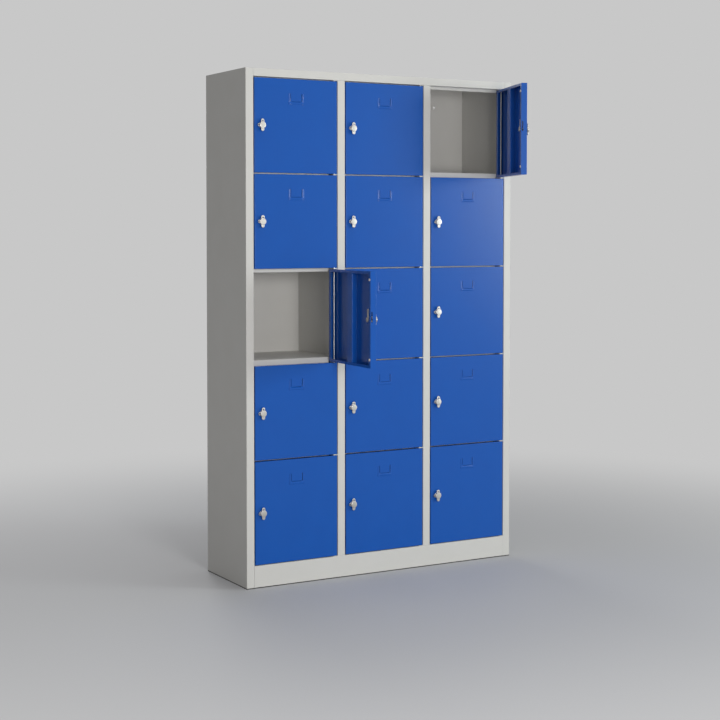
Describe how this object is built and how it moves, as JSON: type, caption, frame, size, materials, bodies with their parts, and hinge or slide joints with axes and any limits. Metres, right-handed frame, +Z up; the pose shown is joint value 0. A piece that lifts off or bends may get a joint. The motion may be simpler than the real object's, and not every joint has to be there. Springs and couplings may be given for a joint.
{
  "type": "multi-door locker",
  "caption": "Tall sheet-steel locker cabinet with blue hinged doors in columns, each with a turning padlock latch, on a plain plinth.",
  "frame": {"origin": "on the floor, at the middle of the four floor fixing holes, which is the middle of the cabinet's footprint", "axes": "+Z up, -Y out of the door fronts, +X to the right of someone who faces the doors"},
  "size_m": [1.2, 0.6938, 1.95],
  "materials": {
    "body_grey": "light grey powder coat, satin",
    "door_blue": "gentian blue powder coat, satin",
    "zinc_steel": "bright zinc plate",
    "latch_metal": "nickel plated casting"
  },
  "bodies": {
    "cabinet": {"left_side_panel": "body_grey", "right_side_panel": "body_grey", "divider_walls": "body_grey", "mid_stiles": "body_grey", "back_panel": "body_grey", "top_panel": "body_grey", "bottom_panel": "body_grey", "plinth": "body_grey", "shelves_column_1": "body_grey", "shelves_column_2": "body_grey", "shelves_column_3": "body_grey", "hinge_rods": "zinc_steel", "hinge_lugs": "body_grey", "hinge_washers": "zinc_steel", "back_fasteners": "zinc_steel"},
    "door_c1_r1": {"door_c1_r1": "door_blue", "fittings_c1_r1": "latch_metal"},
    "latch_c1_r1": {"latch_c1_r1": "latch_metal"},
    "door_c1_r2": {"door_c1_r2": "door_blue", "fittings_c1_r2": "latch_metal"},
    "latch_c1_r2": {"latch_c1_r2": "latch_metal"},
    "door_c1_r3": {"door_c1_r3": "door_blue", "fittings_c1_r3": "latch_metal"},
    "latch_c1_r3": {"latch_c1_r3": "latch_metal"},
    "door_c1_r4": {"door_c1_r4": "door_blue", "fittings_c1_r4": "latch_metal"},
    "latch_c1_r4": {"latch_c1_r4": "latch_metal"},
    "door_c1_r5": {"door_c1_r5": "door_blue", "fittings_c1_r5": "latch_metal"},
    "latch_c1_r5": {"latch_c1_r5": "latch_metal"},
    "door_c2_r1": {"door_c2_r1": "door_blue", "fittings_c2_r1": "latch_metal"},
    "latch_c2_r1": {"latch_c2_r1": "latch_metal"},
    "door_c2_r2": {"door_c2_r2": "door_blue", "fittings_c2_r2": "latch_metal"},
    "latch_c2_r2": {"latch_c2_r2": "latch_metal"},
    "door_c2_r3": {"door_c2_r3": "door_blue", "fittings_c2_r3": "latch_metal"},
    "latch_c2_r3": {"latch_c2_r3": "latch_metal"},
    "door_c2_r4": {"door_c2_r4": "door_blue", "fittings_c2_r4": "latch_metal"},
    "latch_c2_r4": {"latch_c2_r4": "latch_metal"},
    "door_c2_r5": {"door_c2_r5": "door_blue", "fittings_c2_r5": "latch_metal"},
    "latch_c2_r5": {"latch_c2_r5": "latch_metal"},
    "door_c3_r1": {"door_c3_r1": "door_blue", "fittings_c3_r1": "latch_metal"},
    "latch_c3_r1": {"latch_c3_r1": "latch_metal"},
    "door_c3_r2": {"door_c3_r2": "door_blue", "fittings_c3_r2": "latch_metal"},
    "latch_c3_r2": {"latch_c3_r2": "latch_metal"},
    "door_c3_r3": {"door_c3_r3": "door_blue", "fittings_c3_r3": "latch_metal"},
    "latch_c3_r3": {"latch_c3_r3": "latch_metal"},
    "door_c3_r4": {"door_c3_r4": "door_blue", "fittings_c3_r4": "latch_metal"},
    "latch_c3_r4": {"latch_c3_r4": "latch_metal"},
    "door_c3_r5": {"door_c3_r5": "door_blue", "fittings_c3_r5": "latch_metal"},
    "latch_c3_r5": {"latch_c3_r5": "latch_metal"}
  },
  "joints": [
    {"name": "hinge_c1_r1", "type": "hinge", "parent": "cabinet", "child": "door_c1_r1", "pos_m": [-0.22317, -0.173, 1.5625], "axis": [0, 0, 1], "range_deg": [0, 110]},
    {"name": "turn_c1_r1", "type": "hinge", "parent": "door_c1_r1", "child": "latch_c1_r1", "pos_m": [-0.5347, -0.173, 1.73925], "axis": [0, -1, 0], "range_deg": [0, 90]},
    {"name": "hinge_c1_r2", "type": "hinge", "parent": "cabinet", "child": "door_c1_r2", "pos_m": [-0.22317, -0.173, 1.2025], "axis": [0, 0, 1], "range_deg": [0, 110]},
    {"name": "turn_c1_r2", "type": "hinge", "parent": "door_c1_r2", "child": "latch_c1_r2", "pos_m": [-0.5347, -0.173, 1.38], "axis": [0, -1, 0], "range_deg": [0, 90]},
    {"name": "hinge_c1_r3", "type": "hinge", "parent": "cabinet", "child": "door_c1_r3", "pos_m": [-0.22317, -0.173, 0.8425], "axis": [0, 0, 1], "range_deg": [-87, 23]},
    {"name": "turn_c1_r3", "type": "hinge", "parent": "door_c1_r3", "child": "latch_c1_r3", "pos_m": [-0.23947, -0.48411, 1.02], "axis": [0.9986, -0.0523, 0], "range_deg": [0, 90]},
    {"name": "hinge_c1_r4", "type": "hinge", "parent": "cabinet", "child": "door_c1_r4", "pos_m": [-0.22317, -0.173, 0.4825], "axis": [0, 0, 1], "range_deg": [0, 110]},
    {"name": "turn_c1_r4", "type": "hinge", "parent": "door_c1_r4", "child": "latch_c1_r4", "pos_m": [-0.5347, -0.173, 0.66], "axis": [0, -1, 0], "range_deg": [0, 90]},
    {"name": "hinge_c1_r5", "type": "hinge", "parent": "cabinet", "child": "door_c1_r5", "pos_m": [-0.22317, -0.173, 0.0875], "axis": [0, 0, 1], "range_deg": [0, 110]},
    {"name": "turn_c1_r5", "type": "hinge", "parent": "door_c1_r5", "child": "latch_c1_r5", "pos_m": [-0.5347, -0.173, 0.2825], "axis": [0, -1, 0], "range_deg": [0, 90]},
    {"name": "hinge_c2_r1", "type": "hinge", "parent": "cabinet", "child": "door_c2_r1", "pos_m": [0.16617, -0.173, 1.5625], "axis": [0, 0, 1], "range_deg": [0, 110]},
    {"name": "turn_c2_r1", "type": "hinge", "parent": "door_c2_r1", "child": "latch_c2_r1", "pos_m": [-0.14537, -0.173, 1.73925], "axis": [0, -1, 0], "range_deg": [0, 90]},
    {"name": "hinge_c2_r2", "type": "hinge", "parent": "cabinet", "child": "door_c2_r2", "pos_m": [0.16617, -0.173, 1.2025], "axis": [0, 0, 1], "range_deg": [0, 110]},
    {"name": "turn_c2_r2", "type": "hinge", "parent": "door_c2_r2", "child": "latch_c2_r2", "pos_m": [-0.14537, -0.173, 1.38], "axis": [0, -1, 0], "range_deg": [0, 90]},
    {"name": "hinge_c2_r3", "type": "hinge", "parent": "cabinet", "child": "door_c2_r3", "pos_m": [0.16617, -0.173, 0.8425], "axis": [0, 0, 1], "range_deg": [0, 110]},
    {"name": "turn_c2_r3", "type": "hinge", "parent": "door_c2_r3", "child": "latch_c2_r3", "pos_m": [-0.14537, -0.173, 1.02], "axis": [0, -1, 0], "range_deg": [0, 90]},
    {"name": "hinge_c2_r4", "type": "hinge", "parent": "cabinet", "child": "door_c2_r4", "pos_m": [0.16617, -0.173, 0.4825], "axis": [0, 0, 1], "range_deg": [0, 110]},
    {"name": "turn_c2_r4", "type": "hinge", "parent": "door_c2_r4", "child": "latch_c2_r4", "pos_m": [-0.14537, -0.173, 0.66], "axis": [0, -1, 0], "range_deg": [0, 90]},
    {"name": "hinge_c2_r5", "type": "hinge", "parent": "cabinet", "child": "door_c2_r5", "pos_m": [0.16617, -0.173, 0.0875], "axis": [0, 0, 1], "range_deg": [0, 110]},
    {"name": "turn_c2_r5", "type": "hinge", "parent": "door_c2_r5", "child": "latch_c2_r5", "pos_m": [-0.14537, -0.173, 0.2825], "axis": [0, -1, 0], "range_deg": [0, 90]},
    {"name": "hinge_c3_r1", "type": "hinge", "parent": "cabinet", "child": "door_c3_r1", "pos_m": [0.5555, -0.173, 1.5625], "axis": [0, 0, 1], "range_deg": [-71, 39]},
    {"name": "turn_c3_r1", "type": "hinge", "parent": "door_c3_r1", "child": "latch_c3_r1", "pos_m": [0.45408, -0.46756, 1.73925], "axis": [0.9455, -0.3256, 0], "range_deg": [0, 90]},
    {"name": "hinge_c3_r2", "type": "hinge", "parent": "cabinet", "child": "door_c3_r2", "pos_m": [0.5555, -0.173, 1.2025], "axis": [0, 0, 1], "range_deg": [0, 110]},
    {"name": "turn_c3_r2", "type": "hinge", "parent": "door_c3_r2", "child": "latch_c3_r2", "pos_m": [0.24397, -0.173, 1.38], "axis": [0, -1, 0], "range_deg": [0, 90]},
    {"name": "hinge_c3_r3", "type": "hinge", "parent": "cabinet", "child": "door_c3_r3", "pos_m": [0.5555, -0.173, 0.8425], "axis": [0, 0, 1], "range_deg": [0, 110]},
    {"name": "turn_c3_r3", "type": "hinge", "parent": "door_c3_r3", "child": "latch_c3_r3", "pos_m": [0.24397, -0.173, 1.02], "axis": [0, -1, 0], "range_deg": [0, 90]},
    {"name": "hinge_c3_r4", "type": "hinge", "parent": "cabinet", "child": "door_c3_r4", "pos_m": [0.5555, -0.173, 0.4825], "axis": [0, 0, 1], "range_deg": [0, 110]},
    {"name": "turn_c3_r4", "type": "hinge", "parent": "door_c3_r4", "child": "latch_c3_r4", "pos_m": [0.24397, -0.173, 0.66], "axis": [0, -1, 0], "range_deg": [0, 90]},
    {"name": "hinge_c3_r5", "type": "hinge", "parent": "cabinet", "child": "door_c3_r5", "pos_m": [0.5555, -0.173, 0.0875], "axis": [0, 0, 1], "range_deg": [0, 110]},
    {"name": "turn_c3_r5", "type": "hinge", "parent": "door_c3_r5", "child": "latch_c3_r5", "pos_m": [0.24397, -0.173, 0.2825], "axis": [0, -1, 0], "range_deg": [0, 90]}
  ]
}
